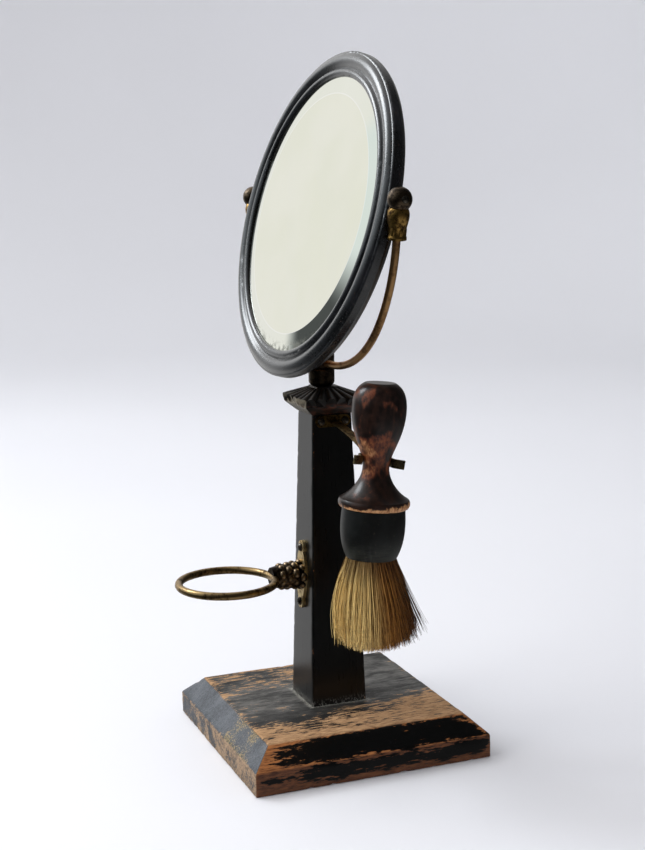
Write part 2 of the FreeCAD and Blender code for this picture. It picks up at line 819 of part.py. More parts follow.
def make_clip_bracket():
    foot = block(0, strip_thickness, -bracket_foot_half_width, bracket_foot_half_width,
                 -bracket_foot_height / 2, bracket_foot_height / 2)
    corners = [edge for edge in foot.Edges if edge.BoundBox.XLength > strip_thickness / 2]
    foot = place_on_side(foot.makeFillet(bracket_foot_height / 2 - 0.1, corners))
    start = Vector(post_half_at(bracket_height) + strip_thickness / 2, 0, bracket_height)
    end = Vector(brush_x + tab_face_x() - strip_thickness / 2, 0, clip_height + strip_width / 2)
    middle = (start + end) * 0.5 + Vector(0, 0, arm_rise)
    half = strip_thickness / 2
    upper = [p + Vector(0, 0, half) for p in (start, middle, end)]
    lower = [p - Vector(0, 0, half) for p in (end, middle, start)]
    outline = Part.Wire([
        Part.Arc(*upper).toShape(),
        Part.makeLine(upper[2], lower[0]),
        Part.Arc(*lower).toShape(),
        Part.makeLine(lower[2], upper[0]),
    ])
    arm = Part.Face(outline).extrude(Vector(0, strip_width, 0))
    arm = moved(arm, 0, brush_y - strip_width / 2, 0)
    tab_back = tab_face_x() - strip_thickness
    edge = strip_width / 2
    tab = block(tab_back, tab_face_x(), -edge, edge, -edge, edge + half)
    body = joined([foot, arm, place_clip(tab)])
    for screw in bracket_screw_solids():
        body = body.cut(screw)
    return body.cut(make_clip_rivet())


def main():
    nodes = {
        "base_block": make_base_block(),
        "base_screw": make_base_screw(),
        "post": make_post(),
        "post_cap": make_post_cap(),
        "cap_pins": Part.makeCompound(cap_pin_solids()),
        "swivel_collar": make_swivel_collar(),
        "ring_backplate": make_ring_backplate(),
        "ring_neck": make_ring_neck(),
        "cup_ring": ring_solid(),
        "backplate_screws": make_backplate_screws(),
        "clip_bracket": make_clip_bracket(),
        "bracket_screws": make_bracket_screws(),
        "brush_clip": make_brush_clip(),
        "clip_rivet": make_clip_rivet(),
        "yoke_hub": make_yoke_hub(),
        "stem_washer": make_stem_washer(),
        "rod_clamp_screw": make_rod_clamp_screw(),
        "yoke_rod": make_yoke_rod(),
        "mirror_frame": make_mirror_frame(),
        "mirror_glass": make_mirror_glass(),
        "mirror_backing": make_mirror_backing(),
        "mirror_backboard": make_mirror_backboard(),
        "backboard_brads": make_backboard_brads(),
        "brush_handle": make_brush_handle(),
        "brush_ferrule": make_brush_ferrule(),
        "bristle_plug": make_bristle_plug(),
        "brush_bristles": make_brush_bristles(),
    }
    for side, sign in (("left", -1), ("right", 1)):
        nodes[side + "_arm_socket"] = make_arm_socket(sign)
        nodes[side + "_pivot_ball"] = make_pivot_ball(sign)
        nodes[side + "_pivot_screw"] = make_pivot_screw(sign)
        nodes[side + "_pivot_washer"] = make_pivot_washer(sign)
    os.makedirs("parts", exist_ok=True)
    for name, shape in nodes.items():
        shape.exportStep("parts/" + name + ".step")
        print(name, "valid" if shape.isValid() else "INVALID", len(shape.Solids), round(shape.Volume, 1))


main()
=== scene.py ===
import math

import bmesh
import bpy
from mathutils import Matrix, Vector, noise


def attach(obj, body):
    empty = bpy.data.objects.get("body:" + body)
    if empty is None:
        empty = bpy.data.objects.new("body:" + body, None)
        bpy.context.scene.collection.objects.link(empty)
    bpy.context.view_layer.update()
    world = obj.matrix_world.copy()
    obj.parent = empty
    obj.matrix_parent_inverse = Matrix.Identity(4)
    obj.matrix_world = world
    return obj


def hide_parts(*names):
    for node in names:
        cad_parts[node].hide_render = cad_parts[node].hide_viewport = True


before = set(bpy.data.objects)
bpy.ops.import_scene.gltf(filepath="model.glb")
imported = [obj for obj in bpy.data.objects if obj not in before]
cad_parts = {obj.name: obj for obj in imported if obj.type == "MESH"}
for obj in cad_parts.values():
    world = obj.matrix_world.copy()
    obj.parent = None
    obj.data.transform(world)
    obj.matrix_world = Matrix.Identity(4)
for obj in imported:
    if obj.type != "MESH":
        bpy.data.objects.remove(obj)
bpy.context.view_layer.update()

# A shaving stand: painted wooden base and post, a mirror in a brass yoke, a cup ring and a hanging brush.
# Lengths in the dictionaries are millimetres, and mm turns them into scene units.

mm = 0.001
print("frame loaded")


# Node graphs are written as sums: a Wire is a node's output, and a Graph makes the nodes.
class Wire:
    def __init__(self, graph, socket):
        self.graph = graph
        self.socket = socket

    def maths(self, operation, first, second=0.0):
        return self.graph.node("ShaderNodeMath", {"operation": operation}, {0: first, 1: second})

    def __add__(self, other):
        return self.maths("ADD", self, other)

    def __sub__(self, other):
        return self.maths("SUBTRACT", self, other)

    def __rsub__(self, other):
        return self.maths("SUBTRACT", other, self)

    def __mul__(self, other):
        return self.maths("MULTIPLY", self, other)

    def __truediv__(self, other):
        return self.maths("DIVIDE", self, other)

    def __rtruediv__(self, other):
        return self.maths("DIVIDE", other, self)

    def __mod__(self, other):
        return self.maths("FLOORED_MODULO", self, other)

    def __pow__(self, other):
        return self.maths("POWER", self, other)

    def __abs__(self):
        return self.maths("ABSOLUTE", self)

    __radd__ = __add__
    __rmul__ = __mul__

    def floor(self):
        return self.maths("FLOOR", self)

    def sine(self):
        return self.maths("SINE", self)

    def cosine(self):
        return self.maths("COSINE", self)

    def larger(self, other):
        return self.maths("MAXIMUM", self, other)

    def scaled(self, factor):
        return self.graph.node("ShaderNodeVectorMath", {"operation": "SCALE"}, {0: self, "Scale": factor})

    def vector(self, operation, other, out=0):
        return self.graph.node("ShaderNodeVectorMath", {"operation": operation}, {0: self, 1: other}, out)

    def split(self):
        parts = self.graph.node("ShaderNodeSeparateXYZ", {}, {0: self})
        return [Wire(self.graph, parts.socket.node.outputs[i]) for i in range(3)]

    def fade(self, low, high, start=0.0, end=1.0):  # a smooth step from start to end
        return self.graph.node("ShaderNodeMapRange", {"interpolation_type": "SMOOTHSTEP"},
                               {0: self, 1: low, 2: high, 3: start, 4: end})


class Graph:
    def __init__(self, tree):
        self.tree = tree

    def node(self, kind, settings=None, values=None, out=0):
        made = self.tree.nodes.new(kind)
        for key, value in (settings or {}).items():
            setattr(made, key, value)
        for key, value in (values or {}).items():
            self.feed(self.socketOf(made, key), value)
        if isinstance(out, str):
            out = [o.name for o in made.outputs].index(out)
        return Wire(self, made.outputs[out])

    def socketOf(self, made, key):
        if isinstance(key, int):
            return made.inputs[key]
        return [s for s in made.inputs if s.name == key and s.enabled][0]

    def feed(self, socket, value):
        if isinstance(value, Wire):
            self.tree.links.new(value.socket, socket)
        else:
            socket.default_value = value

    def join(self, x, y, z):
        return self.node("ShaderNodeCombineXYZ", {}, {0: x, 1: y, 2: z})


def tint(red, green, blue):  # display values 0 to 255 made linear
    linear = []
    for level in (red, green, blue):
        share = level / 255
        linear.append(share / 12.92 if share < 0.04045 else ((share + 0.055) / 1.055) ** 2.4)
    return (*linear, 1.0)


class Finish(Graph):  # a material, with its coordinates in millimetres
    def __init__(self, name, constants=None):
        self.material = bpy.data.materials.new(name)
        self.material.use_nodes = True
        Graph.__init__(self, self.material.node_tree)
        self.skin = [n for n in self.tree.nodes if n.type == "BSDF_PRINCIPLED"][0]
        for key, value in (constants or {}).items():
            self.skin.inputs[key].default_value = value
        self.place = self.node("ShaderNodeTexCoord", out="Object").scaled(1 / mm)

    def cloud(self, size, detail=3.0, roughness=0.55, stretch=(1, 1, 1), shift=0.0):
        where = self.place.vector("MULTIPLY", [1 / s for s in stretch])
        if shift:
            where = where.vector("ADD", (shift, shift * 0.7, -shift))
        values = {"Vector": where, "Scale": 1 / size, "Detail": detail, "Roughness": roughness}
        return self.node("ShaderNodeTexNoise", {}, values)

    def pits(self, size, shift=0.0):
        where = self.place.vector("ADD", (shift, -shift, shift))
        return self.node("ShaderNodeTexVoronoi", {}, {"Vector": where, "Scale": 1 / size})

    def mix(self, share, first, second):
        return self.node("ShaderNodeMix", {"data_type": "RGBA"}, {0: share, 6: first, 7: second}, 2)

    def attribute(self, name):
        return self.node("ShaderNodeAttribute", {"attribute_name": name}, {}, "Fac")

    def facing(self):
        return self.node("ShaderNodeNewGeometry", {}, {}, "Normal").split()

    def paint(self, colour, roughness=None, height=None, depth=0.1, strength=0.6):
        self.feed(self.skin.inputs["Base Color"], colour)
        if roughness is not None:
            self.feed(self.skin.inputs["Roughness"], roughness)
        if height is not None:
            values = {"Height": height, "Distance": depth * mm, "Strength": strength}
            self.feed(self.skin.inputs["Normal"], self.node("ShaderNodeBump", {}, values))
        return self.material


class Pattern(Graph):  # a geometry tree with named inputs
    def __init__(self, name, sockets):
        tree = bpy.data.node_groups.new(name, "GeometryNodeTree")
        Graph.__init__(self, tree)
        tree.interface.new_socket("Geometry", in_out="INPUT", socket_type="NodeSocketGeometry")
        for label, kind in sockets.items():
            tree.interface.new_socket(label, in_out="INPUT", socket_type="NodeSocket" + kind)
        tree.interface.new_socket("Geometry", in_out="OUTPUT", socket_type="NodeSocketGeometry")
        self.source = tree.nodes.new("NodeGroupInput")

    def value(self, label):
        return Wire(self, self.source.outputs[label])

    def random(self, low, high, seed):
        values = {2: low, 3: high, 8: seed}
        return self.node("FunctionNodeRandomValue", {"data_type": "FLOAT"}, values, 1)

    def index(self):
        return self.node("GeometryNodeInputIndex")

    def keep(self, geometry, name, value):
        settings = {"data_type": "FLOAT", "domain": "POINT"}
        values = {"Geometry": geometry, "Name": name, "Value": value}
        return self.node("GeometryNodeStoreNamedAttribute", settings, values)

    def kept(self, name):
        return self.node("GeometryNodeInputNamedAttribute", {"data_type": "FLOAT"}, {"Name": name})

    def copies(self, points, shape, rotation=(0, 0, 0), scale=(1, 1, 1)):
        values = {"Points": points, "Instance": shape, "Rotation": rotation, "Scale": scale}
        return self.node("GeometryNodeInstanceOnPoints", {}, values)

    def finish(self, geometry):
        whole = self.node("GeometryNodeRealizeInstances", {}, {"Geometry": geometry})
        whole = self.node("GeometryNodeSetShadeSmooth", {}, {"Geometry": whole})
        values = {"Geometry": whole, "Material": self.value("Material")}
        whole = self.node("GeometryNodeSetMaterial", {}, values)
        self.tree.links.new(whole.socket, self.tree.nodes.new("NodeGroupOutput").inputs[0])
        return self.tree


def grow(name, tree, values, start=None, place=Matrix()):
    host = bpy.data.objects.new(name + "Host", start or bpy.data.meshes.new(name + "Host"))
    bpy.context.scene.collection.objects.link(host)
    modifier = host.modifiers.new("grow", "NODES")
    modifier.node_group = tree
    for item in tree.interface.items_tree:
        if item.in_out == "INPUT" and item.name in values:
            modifier[item.identifier] = values[item.name]
    view = bpy.context.evaluated_depsgraph_get()
    grown = host.evaluated_get(view)
    mesh = bpy.data.meshes.new_from_object(grown, preserve_all_data_layers=True, depsgraph=view)
    host.modifiers.remove(modifier)
    bpy.data.objects.remove(host)
    mesh.transform(place)
    return bpy.data.objects.new(name, mesh)


def fit(piece, body, material, standsFor=()):
    bpy.context.scene.collection.objects.link(piece)
    piece.data.materials.clear()
    piece.data.materials.append(material)
    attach(piece, body)
    if standsFor:
        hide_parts(*standsFor)


def coat(material, *nodes):
    for name in nodes:
        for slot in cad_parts[name].material_slots:
            slot.material = material


# Worn blocks are stacked square rings of points, with waves in the faces and bites out of the edges.
def squareLoop(half, height, rounding, count):
    steps = 3
    loop = []
    for corner in range(4):
        turn = Matrix.Rotation(corner * math.pi / 2, 3, "Z")
        inner = half - rounding
        for i in range(steps + 1):
            angle = i / steps * math.pi / 2 - math.pi
            along = -inner + rounding * math.cos(angle)
            across = -inner + rounding * math.sin(angle)
            loop.append(turn @ Vector((along, across, height)))
        for i in range(1, count):
            loop.append(turn @ Vector((-inner + 2 * inner * i / count, -half, height)))
    return loop


def wornBlock(name, levels, edges, cell, wear):
    widest = max(level[0] for level in levels)
    count = max(4, round(2 * widest / cell))
    rings = []
    for number, level in enumerate(levels):  # each level is a half width, a height and a corner radius
        if number:
            last = levels[number - 1]
            gap = math.hypot(level[0] - last[0], level[1] - last[1])
            steps = max(1, round(gap / cell))
            for i in range(1, steps):
                share = i / steps
                between = [a + (b - a) * share for a, b in zip(last, level)]
                rings.append(squareLoop(*between, count))
        rings.append(squareLoop(*level, count))
    shape = bmesh.new()
    rows = [[shape.verts.new(p) for p in ring] for ring in rings]
    for low, high in zip(rows, rows[1:]):
        for i in range(len(low)):
            j = (i + 1) % len(low)
            shape.faces.new((low[i], low[j], high[j], high[i]))
    shape.faces.new(list(reversed(rows[0])))
    shape.faces.new(rows[-1])
    bmesh.ops.recalc_face_normals(shape, faces=shape.faces)
    shape.normal_update()
    edge = shape.verts.layers.float.new("edge")
    for vert in shape.verts:
        away = min(distanceTo(vert.co, a, b) for a, b in edges)
        near = math.exp(-away / wear["edgeReach"])
        vert[edge] = near
        swell = noise.noise(vert.co / wear["waveSize"]) * wear["wave"]
        bite = max(0.0, noise.noise(vert.co / wear["biteSize"]) - 0.1) * wear["bite"] * near
        vert.co += vert.normal * (swell - bite)
    shape.transform(Matrix.Scale(mm, 4))
    mesh = bpy.data.meshes.new(name)
    shape.to_mesh(mesh)
    shape.free()
    mesh.shade_smooth()
    mesh.set_sharp_from_angle(angle=math.radians(32))
    return bpy.data.objects.new(name, mesh)


def distanceTo(point, start, end):
    along = end - start
    share = max(0.0, min(1.0, (point - start).dot(along) / along.length_squared))
    return (point - start - along * share).length


def blockEdges(levels):
    edges = []
    for half, height in levels:
        corners = [Vector((sx * half, sy * half, height)) for sx, sy in ((-1, -1), (1, -1), (1, 1), (-1, 1))]
        edges += [(corners[i], corners[(i + 1) % 4]) for i in range(4)]
    for (half, height), (upper, top) in zip(levels, levels[1:]):
        for sx, sy in ((-1, -1), (1, -1), (1, 1), (-1, 1)):
            edges.append((Vector((sx * half, sy * half, height)), Vector((sx * upper, sy * upper, top))))
    return edges


base = {"half": 63.5, "edgeHeight": 11.9, "height": 22.0, "topHalf": 52.8, "round": 0.5, "cell": 2.0}
baseWear = {"edgeReach": 2.2, "waveSize": 21.0, "wave": 0.16, "biteSize": 4.2, "bite": 1.3}


def makeBase():
    half = base["half"]
    top = base["topHalf"]
    soft = base["round"]
    edgeHeight = base["edgeHeight"]
    height = base["height"]
    corner = soft * 1.6
    levels = [
        (3.0, 0.0, 0.1),
        (half - soft, 0.0, soft),
        (half, soft, corner),
        (half, edgeHeight - soft, corner),
        (half - soft * 0.8, edgeHeight + soft * 0.6, corner),
        (top + soft * 0.8, height - soft * 0.6, corner),
        (top - soft, height, soft),
        (3.0, height, 0.1),
    ]
    edges = blockEdges([(half, 0.0), (half, edgeHeight), (top, height)])
    piece = wornBlock("wornBase", levels, edges, base["cell"], baseWear)
    flattenBelow(piece, 0.0)
    fit(piece, "stand", basePaint(), ["base_block"])


def flattenBelow(piece, floor):
    for vert in piece.data.vertices:
        vert.co.z = max(vert.co.z, floor)


def basePaint():
    finish = Finish("wornBasePaint", {"IOR": 1.45})
    x, y, z = finish.place.split()
    grain = finish.cloud(1.5, 6, 0.66, (1, 7, 1))
    fine = finish.cloud(0.7, 4, 0.65, (1, 6, 1), 40)
    patch = finish.cloud(9, 5, 0.62, (1, 2.6, 1.3), 7)
    speck = finish.cloud(1.0, 3, 0.65, (1, 1, 1), 90)
    edge = finish.attribute("edge")
    onTop = z.fade(21.2, 21.7)
    onEnd = (abs(y) - abs(x)).fade(-0.3, 0.3) * (1 - onTop)
    onSide = (1 - onTop) * (1 - onEnd)
    low = 1 - z.fade(11.4, 12.4)
    ragged = (grain - 0.5) * 2.0 + (patch - 0.5) * 1.7 + (fine - 0.5) * 1.5
    front = (x + y.fade(-10, 45, 0.0, 14.0)).fade(18, 46, 0.0, 0.66)
    back = (x * -1).fade(12, 40, 0.0, 0.34) * (y * -1).fade(-30, 20, 0.4, 1.0)
    shadow = (y.fade(10, 30) * (x * -1).fade(-20, 4)) * 0.2
    topWear = (front + back + edge * 0.3 + 0.12 - shadow + ragged).fade(0.5, 0.58)
    foot = 1 - z.fade(0.5, 7.5)
    sideLevel = (y * -1).fade(24, 62, 0.0, 0.4) + edge * 0.6 + foot * 0.26 + low * 0.08 + 0.08
    sideWear = (sideLevel + ragged * 0.6).fade(0.44, 0.54)
    gravel = x.fade(0, 16) * (1 - x.fade(40, 56)) * (1 - low)
    endLevel = low * x.fade(-60, 40, 0.3, 0.62) + edge * 0.3 + gravel * 0.34
    endWear = (endLevel + (patch - 0.5) * 1.3 + (speck - 0.5) * 1.4).fade(0.42, 0.6)
    wear = topWear * onTop + sideWear * onSide + endWear * onEnd
    woodTone = (fine * 0.5 + grain * 0.3 + patch * 0.2).fade(0.32, 0.68)
    tan = finish.mix(woodTone, tint(110, 78, 50), tint(196, 156, 114))
    orange = finish.mix(woodTone, tint(84, 44, 20), tint(178, 114, 62))
    stain = finish.mix(woodTone, tint(34, 16, 8), tint(104, 60, 34))
    endTan = finish.mix((speck * 0.6 + patch * 0.4).fade(0.38, 0.6), tint(98, 84, 70), tint(160, 134, 108))
    stones = finish.mix(speck.fade(0.4, 0.6), tint(46, 38, 26), tint(148, 132, 100))
    endTan = finish.mix(gravel, endTan, stones)
    sideWood = finish.mix(low * 0.85, orange, stain)
    wood = finish.mix(onSide, tan, sideWood)
    wood = finish.mix(onEnd, wood, endTan)
    dust = (patch * 0.45 + fine * 0.3 + grain * 0.25).fade(0.4, 0.6)
    dustyTopAndLitFascia = finish.mix(dust, tint(26, 25, 24), tint(106, 104, 100))
    dustyTopAndLitFascia = finish.mix(x.fade(6, 30) * (1 - y.fade(4, 34)) * 0.8, dustyTopAndLitFascia, tint(18, 16, 14))
    jet = finish.mix(speck.fade(0.62, 0.72) * 0.5, tint(6, 6, 6), tint(44, 32, 24))
    slate = finish.mix((speck * 0.5 + patch * 0.5).fade(0.36, 0.62), tint(46, 50, 56), tint(84, 88, 94))
    coatColour = finish.mix(onTop, jet, dustyTopAndLitFascia)
    coatColour = finish.mix(onEnd, coatColour, slate)
    footEdge = abs(x).larger(abs(y)) - post["footHalf"]
    glue = (1 - footEdge.fade(0.2, 2.8)) * (speck * 0.6 + patch * 0.4).fade(0.42, 0.52) * onTop
    colour = finish.mix(wear, coatColour, wood)
    colour = finish.mix(glue * 0.7, colour, tint(160, 158, 148))
    flecks = finish.pits(2.1).fade(0.05, 0.13, 1.0, 0.0) * onEnd * gravel
    colour = finish.mix(flecks * 0.6, colour, tint(176, 170, 140))
    roughness = wear * 0.25 + onTop * 0.16 + (fine - 0.5) * 0.2 + 0.42
    height = (1 - wear) * 0.6 + fine * 0.35 + grain * 0.5 + speck * onEnd * 0.8
    return finish.paint(colour, roughness, height, 0.28, 0.75)


post = {"footHalf": 15.2, "neckHalf": 10.65, "foot": 22.0, "neck": 175.0, "top": 179.8, "round": 0.8,
        "cell": 2.0}
postWear = {"edgeReach": 1.1, "waveSize": 30.0, "wave": 0.1, "biteSize": 3.4, "bite": 0.8}


def makePost():
    slope = (post["footHalf"] - post["neckHalf"]) / (post["neck"] - post["foot"])
    topHalf = post["neckHalf"] - slope * (post["top"] - post["neck"])
    levels = [(post["footHalf"], post["foot"] - 0.3, post["round"]), (topHalf, post["top"], post["round"])]
    edges = blockEdges([(post["footHalf"], post["foot"]), (topHalf, post["top"])])
    piece = wornBlock("wornPost", levels, edges, post["cell"], postWear)
    fit(piece, "stand", postPaint(), ["post"])


def postPaint():
    finish = Finish("satinPostPaint", {"IOR": 1.5})
    edge = finish.attribute("edge")
    z = finish.place.split()[2]
    streak = finish.cloud(1.1, 4, 0.6, (1, 1, 18))
    spot = finish.cloud(2.6, 4, 0.62, (1, 1, 2.2), 12)
    fleck = finish.cloud(0.8, 2, 0.5, (1, 1, 1.6), 33)
    wear = (edge * 0.4 + (spot - 0.5) * 1.5 + (fleck - 0.5) * 0.8).fade(0.52, 0.6)
    chips = (spot * 0.55 + fleck * 0.45).fade(0.69, 0.72) * 0.8
    worn = wear.larger(chips)
    black = finish.mix(streak.fade(0.4, 0.75), tint(5, 5, 5), tint(11, 10, 10))
    wood = finish.mix(fleck.fade(0.35, 0.65), tint(70, 38, 22), tint(142, 92, 58))
    colour = finish.mix(worn, black, wood)
    dust = (1 - z.fade(22, 27)) * fleck.fade(0.52, 0.6)
    colour = finish.mix(dust * 0.5, colour, tint(150, 148, 140))
    roughness = streak * 0.1 + worn * 0.3 + 0.24
    return finish.paint(colour, roughness, streak * 0.25 - worn * 0.8 + fleck * 0.2, 0.05, 0.4)


# The cap is a worn block under four rows of tapering ribs.
cap = {"footHalf": 11.15, "foot": 175.0, "eaveHalf": 16.4, "eave": 179.5, "fascia": 183.1, "seatHalf": 6.6,
       "seat": 187.6, "top": 188.5, "round": 0.35, "cell": 1.2}
capWear = {"edgeReach": 0.8, "waveSize": 9.0, "wave": 0.12, "biteSize": 2.4, "bite": 0.6}
ribs = {"Ribs": 6, "Rib Points": 9, "Stand Proud": 0.5, "Rib Share": 0.92, "Past Eave": 0.25, "Sides": 4}


def capRibTree():
    sockets = {"Ribs": "Int", "Rib Points": "Int", "Eave Half": "Float", "Seat Half": "Float",
               "Eave Height": "Float", "Seat Height": "Float", "Rib Share": "Float",
               "Stand Proud": "Float", "Past Eave": "Float", "Sides": "Int", "Material": "Material"}
    tree = Pattern("capRibs", sockets)
    number = tree.value("Ribs")
    points = tree.value("Rib Points")
    first = tree.join(1 / number - 1, 0.0, 0.0)
    apart = tree.join(2 / number, 0.0, 0.0)
    row = {"Count": number, "Start Location": first, "Offset": apart}
    across = tree.node("GeometryNodeMeshLine", {}, row)
    column = {"Count": points, "Offset": tree.join(0.0, 1 / (points - 1), 0.0)}
    along = tree.node("GeometryNodeMeshLine", {}, column)
    lines = tree.node("GeometryNodeRealizeInstances", {}, {"Geometry": tree.copies(across, along)})
    side, rise = tree.node("GeometryNodeInputPosition").split()[:2]
    lines = tree.keep(lines, "rise", rise)
    half = tree.value("Eave Half") + (tree.value("Seat Half") - tree.value("Eave Half")) * rise
    radius = half / number * tree.value("Rib Share")
    height = tree.value("Eave Height") + (tree.value("Seat Height") - tree.value("Eave Height")) * rise
    sunk = height - radius * (1 - tree.value("Stand Proud"))
    reach = (half + tree.value("Past Eave") * (1 - rise)) * -1
    where = tree.join(side * half, reach, sunk)
    lines = tree.node("GeometryNodeSetPosition", {}, {"Geometry": lines, "Position": where})
    curve = tree.node("GeometryNodeMeshToCurve", {}, {"Mesh": lines})
    later = tree.value("Eave Half") + (tree.value("Seat Half") - tree.value("Eave Half")) * tree.kept("rise")
    profile = tree.node("GeometryNodeCurvePrimitiveCircle", {}, {"Resolution": 14, "Radius": 1.0})
    thick = later / number * tree.value("Rib Share")
    sweep = {"Curve": curve, "Profile Curve": profile, "Scale": thick, "Fill Caps": True}
    bars = tree.node("GeometryNodeCurveToMesh", {}, sweep)
    corners = tree.node("GeometryNodePoints", {}, {"Count": tree.value("Sides")})
    turn = tree.join(0.0, 0.0, tree.index() * (2 * math.pi / ribs["Sides"]))
    return tree.finish(tree.copies(corners, bars, turn))


def makeCap():
    soft = cap["round"]
    foot = cap["footHalf"]
    eave = cap["eaveHalf"]
    seat = cap["seatHalf"]
    levels = [
        (foot, cap["foot"], soft),
        (eave - soft, cap["eave"] - soft * 0.4, soft),
        (eave, cap["eave"] + soft, soft),
        (eave, cap["fascia"] - soft, soft),
        (eave - soft, cap["fascia"], soft),
        (seat + soft, cap["seat"], soft),
        (seat, cap["seat"] + soft, soft),
        (seat - soft, cap["top"], soft),
        (2.0, cap["top"], 0.1),
    ]
    edges = blockEdges([(foot, cap["foot"]), (eave, cap["eave"]), (eave, cap["fascia"]), (seat, cap["seat"])])
    finish = capFinish()
    body = wornBlock("capBody", levels, edges, cap["cell"], capWear)
    fit(body, "stand", finish, ["post_cap"])
    values = {**ribs, "Eave Half": eave, "Seat Half": seat, "Eave Height": cap["fascia"],
              "Seat Height": cap["seat"], "Material": finish}
    fit(grow("capRibs", capRibTree(), values, place=Matrix.Scale(mm, 4)), "stand", finish)


def capFinish():
    finish = Finish("darkCap", {"IOR": 1.5})
    normalX, normalY = finish.facing()[:2]
    x, y, z = finish.place.split()
    blotch = finish.cloud(2.4, 4, 0.6)
    streak = finish.cloud(1.2, 4, 0.6, (4, 4, 1), 21)
    front = (y * -1 - abs(x)).fade(-0.6, 0.2)
    # Painted light: the fascia facing -Y, towards the window, is coloured pale tan, standing in for light
    # falling on that side.
    dustyTopAndLitFascia = front * (normalY * -1).fade(0.45, 0.8) * (1 - z.fade(184.2, 185.2))
    # Painted reflection: a reddish-brown streak low on the +X fascia stands in for the brush handle reflected
    # there.
    brown = (1 - z.fade(179.6, 182.0)) * normalX.fade(0.4, 0.8) * streak.fade(0.42, 0.6)
    dark = finish.mix(blotch.fade(0.4, 0.7), tint(9, 8, 7), tint(26, 20, 15))
    tan = finish.mix(blotch.fade(0.3, 0.7), tint(62, 56, 46), tint(118, 110, 92))
    colour = finish.mix(dustyTopAndLitFascia, dark, tan)
    colour = finish.mix(brown, colour, tint(74, 38, 22))
    # Painted light: paler tan lines on the upper part of that lit fascia.
    lines = front * (normalY * -1).fade(0.3, 0.7) * z.fade(183.2, 184.0) * blotch.fade(0.4, 0.6) * 0.4
    colour = finish.mix(lines, colour, tint(120, 112, 96))
    return finish.paint(colour, streak * 0.25 + 0.3, blotch * 0.6 + streak * 0.4, 0.14, 0.6)


def agedMetal(name, bright, dark, grime, rough, size, shift):
    finish = Finish(name, {"Metallic": 1.0})
    broad = finish.cloud(size, 4, 0.6, (1, 1, 1), shift)
    small = finish.cloud(size * 0.18, 3, 0.6, (1, 1, 1), shift + 5)
    patina = ((broad - 0.5) * 1.4 + (small - 0.5) * 0.7 + grime).fade(0.3, 0.75)
    colour = finish.mix(patina, bright, dark)
    return finish.paint(colour, patina * 0.22 + small * 0.14 + rough, small * 0.5 + broad * 0.5, 0.06, 0.5)


# bright colour, dark colour, grime, roughness, and the size of the blotches
metals = {
    "ring": ((176, 148, 104), (80, 61, 40), 0.42, 0.24, 8.0),
    "rod": ((204, 160, 110), (122, 88, 58), 0.36, 0.34, 9.0),
    "plate": ((244, 220, 168), (160, 128, 84), 0.36, 0.38, 3.0),
    "bracket": ((140, 112, 64), (52, 38, 20), 0.48, 0.34, 4.0),
    "clip": ((150, 134, 98), (70, 58, 38), 0.45, 0.34, 4.0),
    "socket": ((206, 164, 92), (58, 40, 24), 0.5, 0.24, 2.6),
    "bronze": ((112, 96, 78), (46, 38, 32), 0.5, 0.22, 3.4),
    "neck": ((150, 112, 82), (26, 16, 12), 0.68, 0.2, 2.2),
    "steel": ((118, 112, 102), (42, 36, 32), 0.5, 0.26, 1.6),
}


def metal(key):
    bright, dark, grime, rough, size = metals[key]
    name = key + "Metal"
    if name in bpy.data.materials:
        return bpy.data.materials[name]
    return agedMetal(name, tint(*bright), tint(*dark), grime, rough, size, len(key) * 3.0)


# Buds stand in rows round an axis, every other row turned by half a step.
def budTree():
    sockets = {"Rows": "Int", "Per Row": "Int", "Start Radius": "Float", "End Radius": "Float",
               "Length": "Float", "Bud Size": "Vector", "Unevenness": "Float", "Seed": "Int",
               "Material": "Material"}
    tree = Pattern("castBuds", sockets)
    each = tree.value("Per Row")
    points = tree.node("GeometryNodePoints", {}, {"Count": tree.value("Rows") * each})
    row = (tree.index() / each).floor()
    column = tree.index() % each
    share = row / (tree.value("Rows") - 1).larger(1)
    angle = (column + (row % 2) * 0.5) * 2 * math.pi / each
    radius = tree.value("Start Radius") + (tree.value("End Radius") - tree.value("Start Radius")) * share
    where = tree.join(angle.cosine() * radius, angle.sine() * radius, share * tree.value("Length"))
    points = tree.node("GeometryNodeSetPosition", {}, {"Geometry": points, "Position": where})
    ball = tree.node("GeometryNodeMeshIcoSphere", {}, {"Radius": 1.0, "Subdivisions": 3})
    uneven = tree.value("Unevenness")
    size = tree.value("Bud Size").scaled(tree.random(1 - uneven, 1 + uneven, tree.value("Seed")))
    return tree.finish(tree.copies(points, ball, tree.join(0.0, 0.0, angle), size))


def alongAxis(start, direction):
    turn = direction.to_track_quat("Z", "Y").to_matrix().to_4x4()
    return Matrix.Scale(mm, 4) @ Matrix.Translation(start) @ turn


neck = {"height": 89.8, "root": -15.6, "plainRadius": 6.8, "taper": 0.11}
neckBuds = {"Rows": 4, "Per Row": 8, "Start Radius": 6.5, "End Radius": 5.3, "Length": 10.6,
            "Bud Size": (1.6, 2.2, 1.85), "Unevenness": 0.16, "Seed": 4}


def neckMetal():  # dark in the hollows between the buds, rubbed bright on top of them
    finish = Finish("neckMetal", {"Metallic": 1.0})
    x, y, z = finish.place.split()
    height = z - neck["height"]
    plainRadius = neck["plainRadius"] - (y * -1 - abs(neck["root"])) * neck["taper"]
    proud = (x * x + height * height) ** 0.5 - plainRadius
    grime = finish.cloud(2.4, 3, 0.55)
    rubbed = (proud + (grime - 0.5) * 1.2).fade(0.2, 1.15)
    colour = finish.mix(rubbed, tint(28, 20, 15), tint(158, 136, 108))
    return finish.paint(colour, 0.5 - rubbed * 0.22, grime, 0.05, 0.4)


def makeNeckBuds(tree):
    finish = neckMetal()
    values = {**neckBuds, "Material": finish}
    place = alongAxis(Vector((0, neck["root"], neck["height"])), Vector((0, -1, 0)))
    fit(grow("neckBuds", tree, values, place=place), "stand", finish)
    coat(finish, "ring_neck")


